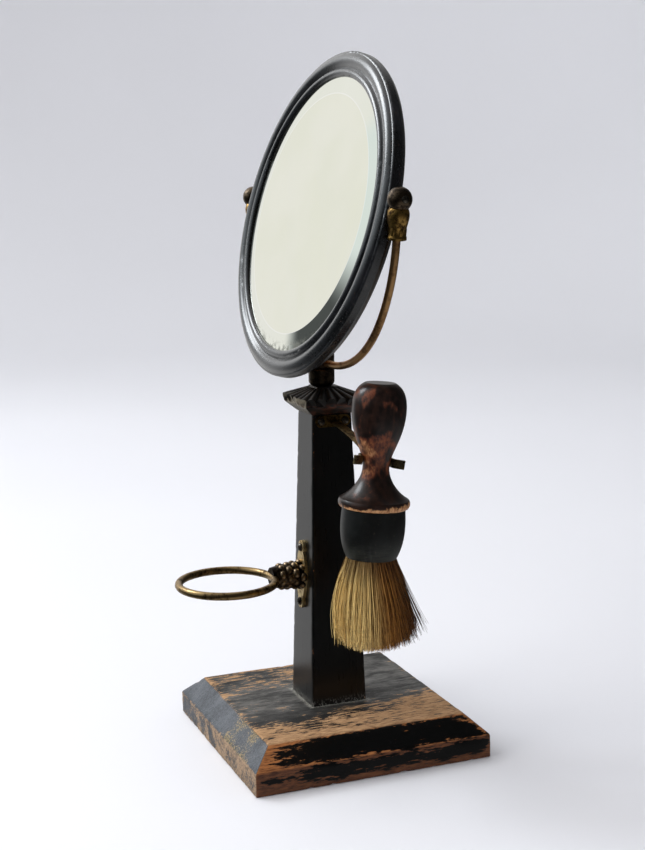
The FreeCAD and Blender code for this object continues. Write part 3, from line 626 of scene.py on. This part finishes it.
yoke = {"x": -0.5, "y": -1.2, "turn": 3.2, "pivotHeight": 283.74, "pivotReach": 87.5, "armAngle": 79.5}
socketLeaves = {"Rows": 2, "Per Row": 6, "Start Radius": 4.1, "End Radius": 3.7, "Length": 7.6,
                "Bud Size": (0.7, 1.1, 3.0), "Unevenness": 0.1}
leavesFrom = 6.7


def spin(degrees, axis):
    return Matrix.Rotation(math.radians(degrees), 4, axis)


yokePlace = Matrix.Translation((yoke["x"], yoke["y"], 0)) @ spin(yoke["turn"], "Z")


def makeSocketLeaves(tree):
    finish = metal("socket")
    for name, sign in (("left", -1), ("right", 1)):
        slope = math.radians(yoke["armAngle"])
        down = yokePlace.to_3x3() @ Vector((-sign * math.cos(slope), 0, -math.sin(slope)))
        ball = yokePlace @ Vector((sign * yoke["pivotReach"], 0, yoke["pivotHeight"]))
        values = {**socketLeaves, "Seed": 11 + sign, "Material": finish}
        place = alongAxis(ball + down * leavesFrom, down)
        fit(grow(name + "SocketLeaves", tree, values, place=place), "yoke", finish)
    coat(finish, "left_arm_socket", "right_arm_socket")


# Slotted heads replace those of the screws, one on each solid of the node.
def screwTree():
    sockets = {"Head Radius": "Float", "Head Height": "Float", "Slot Width": "Float", "Seed": "Int",
               "Material": "Material"}
    tree = Pattern("slottedHeads", sockets)
    radius = tree.value("Head Radius")
    height = tree.value("Head Height")
    dome = tree.node("GeometryNodeMeshUVSphere", {}, {"Segments": 28, "Rings": 16, "Radius": 1.0})
    flat = tree.join(radius, radius, height)
    dome = tree.node("GeometryNodeTransform", {}, {"Geometry": dome, "Scale": flat})
    size = tree.join(radius * 3, tree.value("Slot Width"), height)
    bar = tree.node("GeometryNodeMeshCube", {}, {"Size": size})
    raised = tree.join(0.0, 0.0, height * 0.98)
    bar = tree.node("GeometryNodeTransform", {}, {"Geometry": bar, "Translation": raised})
    head = tree.node("GeometryNodeMeshBoolean", {"operation": "DIFFERENCE"}, {"Mesh 1": dome, "Mesh 2": bar})
    turn = tree.join(0.0, 0.0, tree.random(-1.2, 1.2, tree.value("Seed")))
    whole = tree.copies(tree.value("Geometry"), head, turn)
    return tree.finish(whole)


def makeScrews(tree, name, node, body, spots, facing, radius, height, seed):
    finish = metal("steel")
    start = bpy.data.meshes.new(name + "Spots")
    away = facing.to_track_quat("Z", "Y").to_matrix().to_4x4()
    start.from_pydata([away.inverted() @ spot for spot in spots], [], [])
    values = {"Head Radius": radius, "Head Height": height, "Slot Width": 0.5, "Seed": seed,
              "Material": finish}
    piece = grow(name, tree, values, start, Matrix.Scale(mm, 4) @ away)
    piece.data.set_sharp_from_angle(angle=math.radians(35))
    fit(piece, body, finish, [node])


def solidTips(node, facing):  # the middle of each solid, moved out to its furthest point along facing
    shape = bmesh.new()
    shape.from_mesh(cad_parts[node].data)
    bmesh.ops.remove_doubles(shape, verts=shape.verts, dist=1e-7)
    left = set(shape.verts)
    found = []
    while left:
        todo = [left.pop()]
        island = []
        while todo:
            vert = todo.pop()
            island.append(vert.co.copy())
            for link in vert.link_edges:
                other = link.other_vert(vert)
                if other in left:
                    left.remove(other)
                    todo.append(other)
        tip = max(p.dot(facing) for p in island)
        centre = sum(island, Vector()) / len(island)
        found.append((centre + facing * (tip - centre.dot(facing))) / mm)
    shape.free()
    return sorted(found, key=lambda p: tuple(p))


# node, body, way it faces, head radius, head height, and seed for the slot's turn
screws = {
    "plateScrews": ("backplate_screws", "stand", (0, -1, 0), 2.2, 1.6, 3),
    "bracketScrews": ("bracket_screws", "stand", (1, 0, 0), 2.0, 1.4, 8),
    "clampScrew": ("rod_clamp_screw", "yoke", (0, 0, 1), 4.5, 1.8, 5),
}


def makeAllScrews():
    tree = screwTree()
    for name, (node, body, facing, radius, height, seed) in screws.items():
        facing = Vector(facing)
        spots = [tip - facing * height for tip in solidTips(node, facing)]
        makeScrews(tree, name, node, body, spots, facing, radius, height, seed)


# Copies of bent and cut sheet, with their edges softened.
def softened(name, node, body, material, width):
    shape = bmesh.new()
    shape.from_mesh(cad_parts[node].data)
    bmesh.ops.remove_doubles(shape, verts=shape.verts, dist=1e-7)
    bmesh.ops.dissolve_limit(shape, angle_limit=math.radians(1.0), verts=shape.verts, edges=shape.edges)
    mesh = bpy.data.meshes.new(name)
    shape.to_mesh(mesh)
    shape.free()
    piece = bpy.data.objects.new(name, mesh)
    bevel = piece.modifiers.new("softEdges", "BEVEL")
    bevel.width = width * mm
    bevel.segments = 2
    bevel.limit_method = "ANGLE"
    bevel.angle_limit = math.radians(35)
    mesh.shade_smooth()
    mesh.set_sharp_from_angle(angle=math.radians(40))
    fit(piece, body, material, [node])


# Radii are measured from the mirror's own axis.
mirror = {"tilt": 15.0, "pivotAbove": 9.06, "bevelFrom": 61.5, "groove": 74.9, "rimFrom": 79.5,
          "rimTo": 82.6}
mirrorPlace = (yokePlace @ Matrix.Translation((0, 0, yoke["pivotHeight"])) @ spin(-mirror["tilt"], "X")
               @ Matrix.Translation((0, 0, -mirror["pivotAbove"])) @ spin(90, "X"))


def acrossMirror(finish):  # distance from the mirror's axis
    centre = mirrorPlace.translation
    facing = mirrorPlace.to_3x3() @ Vector((0, 0, 1))
    away = finish.place.vector("SUBTRACT", tuple(centre))
    height = away.vector("DOT_PRODUCT", tuple(facing), "Value")
    length = away.vector("DOT_PRODUCT", away, "Value")
    return (length - height * height) ** 0.5


def mirrorGlass():
    finish = Finish("silveredGlass", {"Metallic": 1.0, "Coat Weight": 0.6, "Coat Roughness": 0.02})
    radius = acrossMirror(finish)
    spots = finish.cloud(4.0, 5, 0.65, (1, 1, 1), 17)
    haze = finish.cloud(38, 2, 0.5)
    onBevel = radius.fade(mirror["bevelFrom"] - 0.15, mirror["bevelFrom"] + 0.15)
    # Painted highlight: a bright white line along the bevel's edge.
    line = 1 - abs(radius - mirror["bevelFrom"]).fade(0.15, 0.5)
    clear = finish.mix(haze.fade(0.3, 0.7), tint(236, 237, 218), tint(240, 240, 224))
    colour = finish.mix(onBevel * 0.25, clear, tint(238, 243, 240))
    colour = finish.mix(line * 0.5, colour, tint(255, 255, 252))
    low = 1 - finish.place.split()[2].fade(212, 236)
    foxed = radius.fade(64, 72) * spots.fade(0.46, 0.58) * low
    colour = finish.mix(foxed * 0.7, colour, tint(92, 100, 78))
    roughness = foxed * 0.25 + haze * 0.02 + 0.015
    return finish.paint(colour, roughness)


def mirrorPaint():
    finish = Finish("mirrorFramePaint", {"IOR": 1.62, "Coat Weight": 0.9, "Coat Roughness": 0.26})
    radius = acrossMirror(finish)
    scuff = finish.cloud(1.3, 5, 0.7, (1, 1, 1), 4)
    broad = finish.cloud(16, 3, 0.55, (1, 1, 1), 8)
    hair = finish.cloud(0.5, 2, 0.5, (1, 6, 3), 60)
    groove = 1 - abs(radius - mirror["groove"]).fade(0.3, 0.9)
    outer = radius.fade(mirror["rimFrom"], mirror["rimTo"])
    black = finish.mix(broad.fade(0.35, 0.65), tint(6, 7, 9), tint(16, 18, 22))
    worn = (outer * 0.3 + (scuff - 0.5) * 1.6 + (broad - 0.5) * 1.1).fade(0.42, 0.6)
    colour = finish.mix(worn * 0.4, black, tint(44, 44, 48))
    # Painted shade: the groove is coloured near black, standing in for shade in the recess.
    colour = finish.mix(groove * 0.8, colour, tint(5, 5, 6))
    brown = outer * (scuff * 0.6 + hair * 0.4).fade(0.6, 0.66)
    colour = finish.mix(brown * 0.7, colour, tint(92, 62, 42))
    roughness = scuff * 0.2 + broad * 0.14 + 0.12
    return finish.paint(colour, roughness, scuff * 0.35 + hair * 0.25 - worn * 0.3, 0.05, 0.5)


def boardWood():
    finish = Finish("backBoard", {"IOR": 1.45})
    grain = finish.cloud(1.4, 5, 0.6, (12, 1, 1))
    broad = finish.cloud(14, 3, 0.5)
    tone = (grain * 0.7 + broad * 0.3).fade(0.32, 0.68)
    colour = finish.mix(tone, tint(92, 58, 32), tint(168, 120, 74))
    return finish.paint(colour, grain * 0.2 + 0.55, grain, 0.12, 0.5)


def plain(name, dark, light, roughness, size):
    finish = Finish(name)
    tone = finish.cloud(size, 4, 0.6)
    small = finish.cloud(size * 0.2, 3, 0.6, (1, 1, 1), 9)
    colour = finish.mix((tone * 0.6 + small * 0.4).fade(0.35, 0.65), tint(*dark), tint(*light))
    return finish.paint(colour, small * 0.2 + roughness, small, 0.08, 0.5)


# clipBelow and mouthBelow are distances down the leaning brush from its top end.
brush = {"x": 67.0, "y": -0.38, "lean": 3.95, "clipHeight": 160.6, "clipBelow": 37.6, "mouthBelow": 84.2,
         "rootsAbove": 1.2}


def handleLacquer():
    finish = Finish("wornLacquer", {"IOR": 1.5, "Specular IOR Level": 0.35, "Coat Roughness": 0.16})
    y, z = finish.place.split()[1:]
    soft = finish.cloud(8.5, 3, 0.5, (1, 1, 1.1), 3)
    patch = finish.cloud(3.4, 4, 0.58, (1, 1, 1.5), 13)
    fine = finish.cloud(0.8, 4, 0.6, (1, 1, 6), 31)
    speck = finish.cloud(1.3, 3, 0.6, (1, 1, 1), 55)
    neckArea = z.fade(148, 157) * (1 - z.fade(166, 184))
    headArea = z.fade(184, 190) * 0.12
    # Painted highlight: the -Y side, towards the window, is pushed towards red and pale tan, standing in for
    # light falling on it; the rest of this wear is real.
    side = (y * -1).fade(-4, 12) * 0.16
    level = neckArea * 0.42 + headArea + side - 0.06 + (soft - 0.5) * 1.4
    level = level + (patch - 0.5) * 0.9 + (speck - 0.5) * 0.12
    worn = level.fade(0.16, 0.56)
    bareAndLitTan = (level + side * 1.4 - 0.3).fade(0.34, 0.62)
    dark = finish.mix(patch.fade(0.35, 0.65), tint(17, 10, 8), tint(38, 23, 17))
    red = finish.mix((patch * 0.6 + fine * 0.4).fade(0.38, 0.62), tint(52, 21, 9), tint(112, 56, 27))
    tan = finish.mix(fine.fade(0.35, 0.65), tint(130, 82, 48), tint(196, 146, 98))
    colour = finish.mix(worn * 0.9, dark, red)
    colour = finish.mix(bareAndLitTan * 0.5, colour, tan)
    rim = z.fade(137.4, 137.9) * (1 - (z + (patch - 0.5) * 7).fade(140.4, 141.4)) * speck.fade(0.32, 0.42)
    colour = finish.mix(rim * 0.9, colour, tan)
    finish.feed(finish.skin.inputs["Coat Weight"], (1 - bareAndLitTan) * 0.15)
    height = patch * 0.4 - worn * 0.4 + fine * 0.2
    return finish.paint(colour, worn * 0.1 + fine * 0.1 + 0.26, height, 0.08, 0.4)


def ferruleEnamel():
    finish = Finish("ferruleEnamel", {"IOR": 1.5})
    broad = finish.cloud(9, 3, 0.6)
    scratch = finish.cloud(0.7, 4, 0.65, (9, 9, 1), 14)
    speck = finish.cloud(0.9, 2, 0.5, (1, 1, 1), 70)
    tone = (broad * 0.6 + scratch * 0.4).fade(0.35, 0.65)
    z = finish.place.split()[2]
    colour = finish.mix(tone, tint(7, 8, 8), tint(17, 19, 18))
    foot = (1 - z.fade(116, 126)) * scratch.fade(0.35, 0.6) * 0.7
    colour = finish.mix(foot, colour, tint(44, 46, 38))
    colour = finish.mix(speck.fade(0.68, 0.74) * 0.4, colour, tint(104, 92, 70))
    return finish.paint(colour, scratch * 0.22 + 0.34, scratch * 0.4 + broad * 0.3, 0.05, 0.45)


def bristleTree():
    sockets = {"Hairs": "Int", "Points": "Int", "Mouth Radius": "Float", "Length": "Float",
               "Length Spread": "Float", "Fan": "Float", "Fan Lean": "Float", "Bow": "Float",
               "Bow Lean": "Float", "Side": "Float", "Clump": "Float", "Thickness": "Float",
               "Seed": "Int", "Material": "Material"}
    tree = Pattern("brushHairs", sockets)
    seed = tree.value("Seed")
    points = tree.node("GeometryNodePoints", {}, {"Count": tree.value("Hairs")})
    points = tree.keep(points, "share", tree.random(0.0, 1.0, seed) ** 0.5)
    points = tree.keep(points, "around", tree.random(0.0, 2 * math.pi, seed + 1))
    points = tree.keep(points, "tone", tree.random(0.0, 1.0, seed + 2))
    points = tree.keep(points, "long", tree.random(-1.0, 1.0, seed + 3))
    points = tree.keep(points, "stray", tree.random(-1.0, 1.0, seed + 4))
    line = tree.node("GeometryNodeCurvePrimitiveLine", {}, {"End": (0, 0, 1)})
    line = tree.node("GeometryNodeResampleCurve", {}, {"Curve": line, "Count": tree.value("Points")})
    hairs = tree.node("GeometryNodeRealizeInstances", {}, {"Geometry": tree.copies(points, line)})
    along = tree.node("GeometryNodeSplineParameter")
    hairs = tree.keep(hairs, "along", along)
    share = tree.kept("share")
    around = tree.kept("around")
    toSide = (around - tree.value("Side")).cosine()
    stray = tree.kept("stray") ** 3
    angle = (tree.value("Fan") + tree.value("Fan Lean") * toSide) * share + stray * 0.2
    length = tree.value("Length") + tree.value("Length Spread") * tree.kept("long")
    root = tree.value("Mouth Radius") * share
    tip = angle.sine() * length
    bow = (tree.value("Bow") + tree.value("Bow Lean") * toSide) * share
    reach = root + (tip - root) * along + bow * 4 * along * (1 - along)
    bend = tree.kept("tone") * 6 + along * 5
    across = (bend.sine() * 0.8 + stray * 2.0) * along
    drop = angle.cosine() * length * along * -1
    where = tree.join(around.cosine() * reach - around.sine() * across,
                      around.sine() * reach + around.cosine() * across, drop)
    nearby = tree.join(around.cosine() * root, around.sine() * root, along * 2)
    values = {"Vector": nearby, "Scale": 0.75, "Detail": 3.0, "Roughness": 0.7}
    clump = tree.node("ShaderNodeTexNoise", {}, values, "Color")
    shift = clump.vector("SUBTRACT", (0.5, 0.5, 0.5)).scaled(tree.value("Clump") * along * along)
    hairs = tree.node("GeometryNodeSetPosition", {}, {"Geometry": hairs, "Position": where, "Offset": shift})
    profile = tree.node("GeometryNodeCurvePrimitiveCircle", {}, {"Resolution": 3, "Radius": 1.0})
    reached = tree.kept("along")
    thick = tree.value("Thickness") * (1 - reached * reached * 0.55)
    sweep = {"Curve": hairs, "Profile Curve": profile, "Scale": thick}
    return tree.finish(tree.node("GeometryNodeCurveToMesh", {}, sweep))


everyTuft = {"Hairs": 4600, "Points": 8, "Fan": math.radians(21.5), "Fan Lean": math.radians(6),
             "Bow": 1.8, "Bow Lean": -2.3, "Side": math.radians(68)}
tufts = {
    "outerHairs": {"Mouth Radius": 11.6, "Length": 44.0, "Length Spread": 3.2, "Thickness": 0.14,
                   "Seed": 20, "Clump": 2.6},
    "middleHairs": {"Mouth Radius": 11.2, "Length": 43.0, "Length Spread": 3.6, "Thickness": 0.14,
                    "Seed": 40, "Clump": 2.4},
    "innerHairs": {"Mouth Radius": 10.0, "Length": 42.0, "Length Spread": 2.6, "Thickness": 0.12,
                   "Seed": 70, "Clump": 2.0},
}


def bristleHair():
    finish = Finish("bristleHair", {"IOR": 1.5, "Specular IOR Level": 0.25})
    tone = finish.attribute("tone")
    along = finish.attribute("along")
    y = finish.place.split()[1]
    golden = finish.mix(tone, tint(188, 146, 74), tint(252, 224, 152))
    brown = finish.mix(tone, tint(78, 42, 13), tint(168, 114, 50))
    paintedShadeBrown = finish.mix(tone, tint(34, 15, 5), tint(84, 46, 18))
    # Painted light and shade: hairs on the -Y side, towards the window, are golden and hairs towards +Y are
    # dark brown, standing in for how light falls across the tuft.
    colour = finish.mix(y.fade(-17, -2), golden, brown)
    colour = finish.mix(y.fade(0, 15) * 0.9, colour, paintedShadeBrown)
    # Painted shade: the hairs are coloured darker near their roots, standing in for shade among the packed
    # hairs.
    colour = finish.mix((1 - along.fade(0.02, 0.4)) * 0.7, colour, paintedShadeBrown)
    colour = finish.mix((1 - tone.fade(0.12, 0.3)) * 0.75, colour, tint(40, 20, 8))
    return finish.paint(colour, tone * 0.2 + 0.34)


def makeBristles():
    finish = bristleHair()
    tree = bristleTree()
    lean = math.radians(brush["lean"])
    below = brush["mouthBelow"] - brush["clipBelow"]
    forward = brush["y"] - math.sin(lean) * below
    mouth = Vector((brush["x"], forward, brush["clipHeight"] - math.cos(lean) * below))
    place = Matrix.Scale(mm, 4) @ Matrix.Translation(mouth + Vector((0, 0, brush["rootsAbove"])))
    for name, sizes in tufts.items():
        piece = grow(name, tree, {**everyTuft, **sizes, "Material": finish}, place=place)
        stands = ["brush_bristles"] if name == "outerHairs" else []
        fit(piece, "brush", finish, stands)
        print(name, len(piece.data.polygons), "faces")


# The floor curves up into a wall. These lengths are in metres, apart from the glow's.
stage = {"floorRadius": 1.7, "rise": 1.4, "wallRadius": 1.1, "segments": 96, "sunk": 0.0001,
         "glowFrom": 500, "glowTo": 2600, "glow": 0.1}


def makeStage():
    shape = bmesh.new()
    segments = stage["segments"]
    profile = [(stage["floorRadius"] * i / 10, 0.0) for i in range(11)]
    for i in range(1, 13):
        angle = i / 12 * math.pi / 2
        outward = stage["floorRadius"] + stage["wallRadius"] * math.sin(angle)
        profile.append((outward, stage["wallRadius"] * (1 - math.cos(angle))))
    profile.append((stage["floorRadius"] + stage["wallRadius"], stage["wallRadius"] + stage["rise"]))
    angles = [2 * math.pi * i / segments for i in range(segments)]
    rows = []
    for radius, height in profile[1:]:
        low = height - stage["sunk"]
        ring = [(radius * math.cos(angle), radius * math.sin(angle), low) for angle in angles]
        rows.append([shape.verts.new(point) for point in ring])
    shape.faces.new(rows[0])
    for low, high in zip(rows, rows[1:]):
        for i in range(segments):
            j = (i + 1) % segments
            shape.faces.new((low[i], high[i], high[j], low[j]))
    mesh = bpy.data.meshes.new("paleFloor")
    shape.to_mesh(mesh)
    shape.free()
    mesh.shade_smooth()
    floor = bpy.data.objects.new("paleFloor", mesh)
    bpy.context.scene.collection.objects.link(floor)
    finish = Finish("palePaper", {"Roughness": 0.9, "Specular IOR Level": 0.1})
    soft = finish.cloud(900, 2, 0.5)
    x, y = finish.place.split()[:2]
    away = (x * x + y * y) ** 0.5
    most = stage["glow"]
    far = away.fade(stage["glowFrom"], stage["glowTo"])
    glow = finish.mix(far, (0.0, 0.0, 0.0, 1.0), (most, most, most, 1.0))
    finish.feed(finish.skin.inputs["Emission Color"], glow)
    finish.skin.inputs["Emission Strength"].default_value = 1.0
    mesh.materials.append(finish.paint(finish.mix(soft, tint(222, 222, 226), tint(236, 236, 240))))
    floor.visible_glossy = False


def addLight(name, place, target, size, power, colour, mirrored):
    data = bpy.data.lights.new(name, "AREA")
    data.shape = "RECTANGLE"
    data.size = size[0]
    data.size_y = size[1]
    data.energy = power
    data.color = colour
    light = bpy.data.objects.new(name, data)
    light.location = place
    light.rotation_euler = (Vector(target) - Vector(place)).to_track_quat("-Z", "Y").to_euler()
    light.visible_camera = False
    light.visible_glossy = mirrored
    bpy.context.scene.collection.objects.link(light)


# place, target, size, power, colour, and whether gloss shows it
lights = {
    "windowKey": ((-1.05, -0.97, 1.3), (0, 0, 0.25), (0.72, 0.72), 13.0, (0.92, 0.96, 1.0), True),
    "windowSpill": ((0.0, -1.2, 0.8), (0, 0, 0.12), (1.2, 1.0), 10.5, (1.0, 0.99, 0.97), False),
    "skyFill": ((-0.6, -0.5, 2.2), (0, 0, 0.1), (2.2, 2.2), 24.0, (1.0, 1.0, 1.0), False),
}
sky = {"towards": (-0.75, -0.55, 0.35), "dark": 0.035, "bright": 0.88, "seen": 0.7, "sill": 0.1,
       "floor": 0.32}


def makeWorld():  # a pale window side with a dim sill low in it, and a dark room opposite
    world = bpy.data.worlds.new("studio")
    world.use_nodes = True
    bpy.context.scene.world = world
    graph = Graph(world.node_tree)
    background = [n for n in world.node_tree.nodes if n.type == "BACKGROUND"][0]
    direction = graph.node("ShaderNodeTexCoord", {}, {}, "Generated")
    y, z = direction.split()[1:]
    towards = direction.vector("DOT_PRODUCT", sky["towards"], "Value")
    level = towards.fade(0.0, 1.0, sky["dark"], sky["bright"])
    level = level.larger((1 - z.fade(-0.55, -0.25)) * sky["floor"])
    side = (y * -1).fade(0.465, 0.51)
    sill = side * (1 - z.fade(0.11, 0.2)) * (1 - sky["sill"])
    seen = graph.node("ShaderNodeLightPath", {}, {}, "Is Camera Ray")
    strength = level * (1 - sill) * (1 - seen) + seen * sky["seen"]
    cool = {0: side * (1 - seen), 6: (1, 1, 1, 1), 7: (0.88, 0.96, 1.0, 1)}
    tone = graph.node("ShaderNodeMix", {"data_type": "RGBA"}, cool, 2)
    graph.feed(background.inputs["Strength"], strength)
    graph.feed(background.inputs["Color"], tone)


camera = {"place": (690.24, -272.01, 294.62), "forward": (-0.917628, 0.359910, -0.168598),
          "up": (-0.151185, 0.076221, 0.985562), "lens": 61.622}


def makeCamera():
    data = bpy.data.cameras.new("camera")
    data.lens = camera["lens"]
    data.sensor_width = 36.0
    data.clip_start = 0.01
    forward = Vector(camera["forward"]).normalized()
    up = Vector(camera["up"])
    right = forward.cross(up).normalized()
    up = right.cross(forward)
    turn = Matrix((right, up, -forward)).transposed().to_4x4()
    viewer = bpy.data.objects.new("camera", data)
    viewer.matrix_world = Matrix.Translation(Vector(camera["place"]) * mm) @ turn
    bpy.context.scene.collection.objects.link(viewer)
    bpy.context.scene.camera = viewer


makeCamera()
makeStage()
makeWorld()
for lightName, settings in lights.items():
    addLight(lightName, *settings)
scene = bpy.context.scene
scene.view_settings.view_transform = "Standard"
print("stage ready")

makeBase()
makePost()
makeCap()
print("woodwork ready")

buds = budTree()
makeNeckBuds(buds)
makeSocketLeaves(buds)
makeAllScrews()
softened("softPlate", "ring_backplate", "stand", metal("plate"), 0.45)
softened("softBracket", "clip_bracket", "stand", metal("bracket"), 0.25)
softened("softClip", "brush_clip", "stand", metal("clip"), 0.22)
coat(metal("ring"), "cup_ring")
coat(metal("rod"), "yoke_rod")
coat(metal("bronze"), "swivel_collar", "yoke_hub", "left_pivot_ball", "right_pivot_ball")
coat(metal("steel"), "base_screw", "cap_pins", "clip_rivet", "stem_washer", "backboard_brads",
     "left_pivot_screw", "right_pivot_screw", "left_pivot_washer", "right_pivot_washer")
print("metalwork ready")

coat(mirrorGlass(), "mirror_glass")
coat(mirrorPaint(), "mirror_frame")
coat(boardWood(), "mirror_backboard")
coat(plain("greyCard", (108, 98, 82), (150, 140, 120), 0.7, 9), "mirror_backing")
print("mirror ready")

coat(handleLacquer(), "brush_handle")
coat(ferruleEnamel(), "brush_ferrule")
coat(plain("plugResin", (30, 20, 12), (66, 44, 26), 0.4, 4), "bristle_plug")
makeBristles()
print("brush ready")
